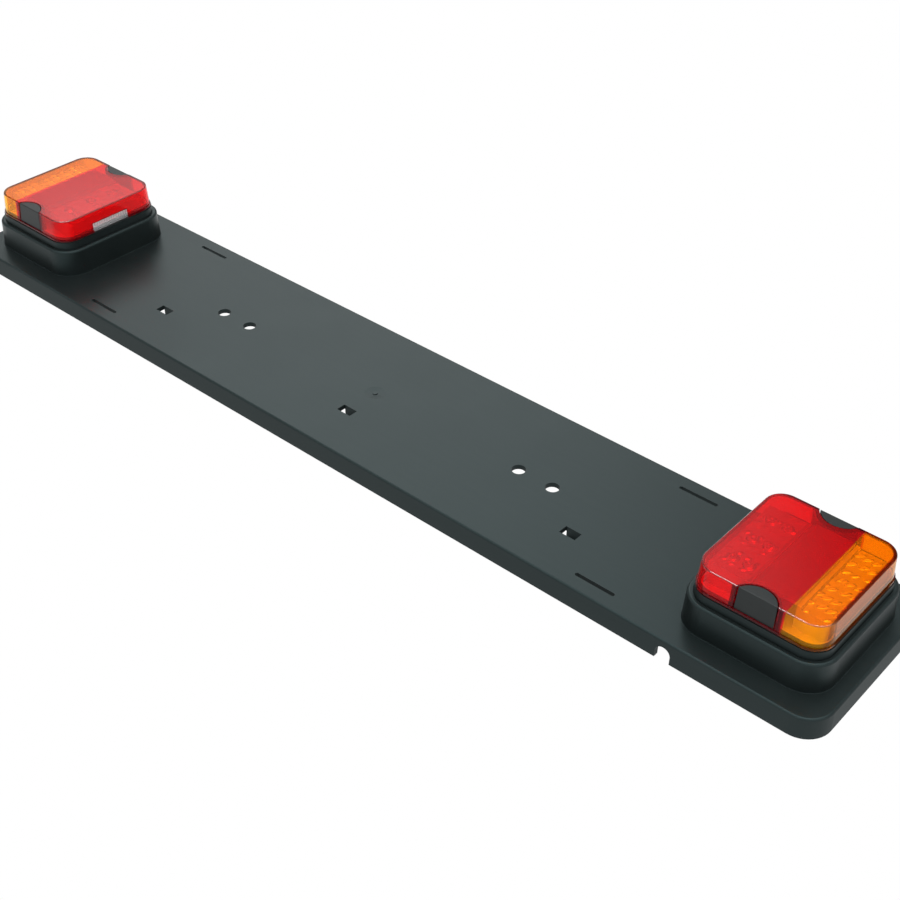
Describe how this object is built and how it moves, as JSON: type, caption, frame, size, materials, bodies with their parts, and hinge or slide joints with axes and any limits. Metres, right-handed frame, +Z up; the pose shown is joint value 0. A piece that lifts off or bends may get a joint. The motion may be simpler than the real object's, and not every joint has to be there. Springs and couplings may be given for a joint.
{
  "type": "trailer lighting board",
  "caption": "Long black moulded board with a square red and amber rear lamp on a raised plinth at each end, strap slots and fixing holes.",
  "frame": {"origin": "middle of the board's length and width, at the skirt's lower edge", "axes": "+X along the board's length towards the end with the cable notch, +Y across it towards the back edge, +Z up out of the lenses"},
  "size_m": [0.878, 0.152, 0.067],
  "materials": {
    "board_plastic": "satin moulded anthracite plastic",
    "base_plastic": "fine matt black plastic",
    "cover_plastic": "satin black plastic",
    "red_lens": "clear red polished plastic",
    "amber_lens": "clear amber polished plastic",
    "clear_window": "clear polished plastic",
    "opal_optic": "opal moulded plastic",
    "red_reflex": "dark red reflex optic",
    "circuit_board": "white solder mask",
    "led_white": "pale light package",
    "gasket_rubber": "black rubber",
    "zinc_steel": "zinc-plated steel"
  },
  "bodies": {
    "root": {"light_board": "board_plastic", "left_lamp_base": "base_plastic", "left_lens_gasket": "gasket_rubber", "left_lens_red": "red_lens", "left_lens_amber": "amber_lens", "left_plate_light_window": "clear_window", "left_reflex_reflector": "red_reflex", "left_circuit_board": "circuit_board", "left_tail_stop_leds": "led_white", "left_indicator_leds": "led_white", "left_plate_leds": "led_white", "left_tail_optic": "opal_optic", "left_indicator_optic": "opal_optic", "left_cable_inlet": "gasket_rubber", "right_lamp_base": "base_plastic", "right_lens_gasket": "gasket_rubber", "right_lens_red": "red_lens", "right_lens_amber": "amber_lens", "right_plate_light_window": "clear_window", "right_reflex_reflector": "red_reflex", "right_circuit_board": "circuit_board", "right_tail_stop_leds": "led_white", "right_indicator_leds": "led_white", "right_plate_leds": "led_white", "right_tail_optic": "opal_optic", "right_indicator_optic": "opal_optic", "right_cable_inlet": "gasket_rubber", "lens_screw_covers": "cover_plastic", "lens_screws": "zinc_steel", "lamp_bolts": "zinc_steel", "lamp_washers": "zinc_steel", "lamp_nuts": "zinc_steel"}
  },
  "joints": []
}
